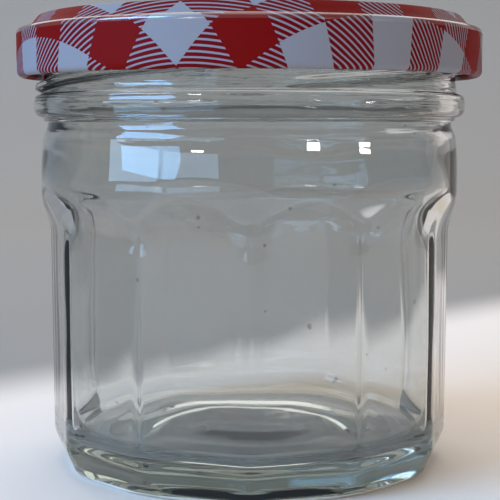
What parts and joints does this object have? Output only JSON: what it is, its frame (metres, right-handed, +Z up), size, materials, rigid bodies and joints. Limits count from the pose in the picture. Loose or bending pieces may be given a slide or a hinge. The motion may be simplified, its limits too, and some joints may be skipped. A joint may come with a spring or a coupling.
{
  "type": "jam jar",
  "caption": "Empty clear glass jam jar with a faceted body, round shoulder and bead, closed by a printed tinplate twist-off lid.",
  "frame": {"origin": "centre of the ring that the jar stands on", "axes": "+Z up along the jar's axis, towards the lid; a vertical edge between two facets is at -Y"},
  "size_m": [0.073, 0.073, 0.0702],
  "materials": {
    "glass": "clear soda-lime glass with a faint grey-green tint",
    "tinplate": "gloss print of red and white checks",
    "compound": "matt sealing compound"
  },
  "bodies": {
    "root": {"jar": "glass", "lid": "tinplate", "liner": "compound"}
  },
  "joints": []
}
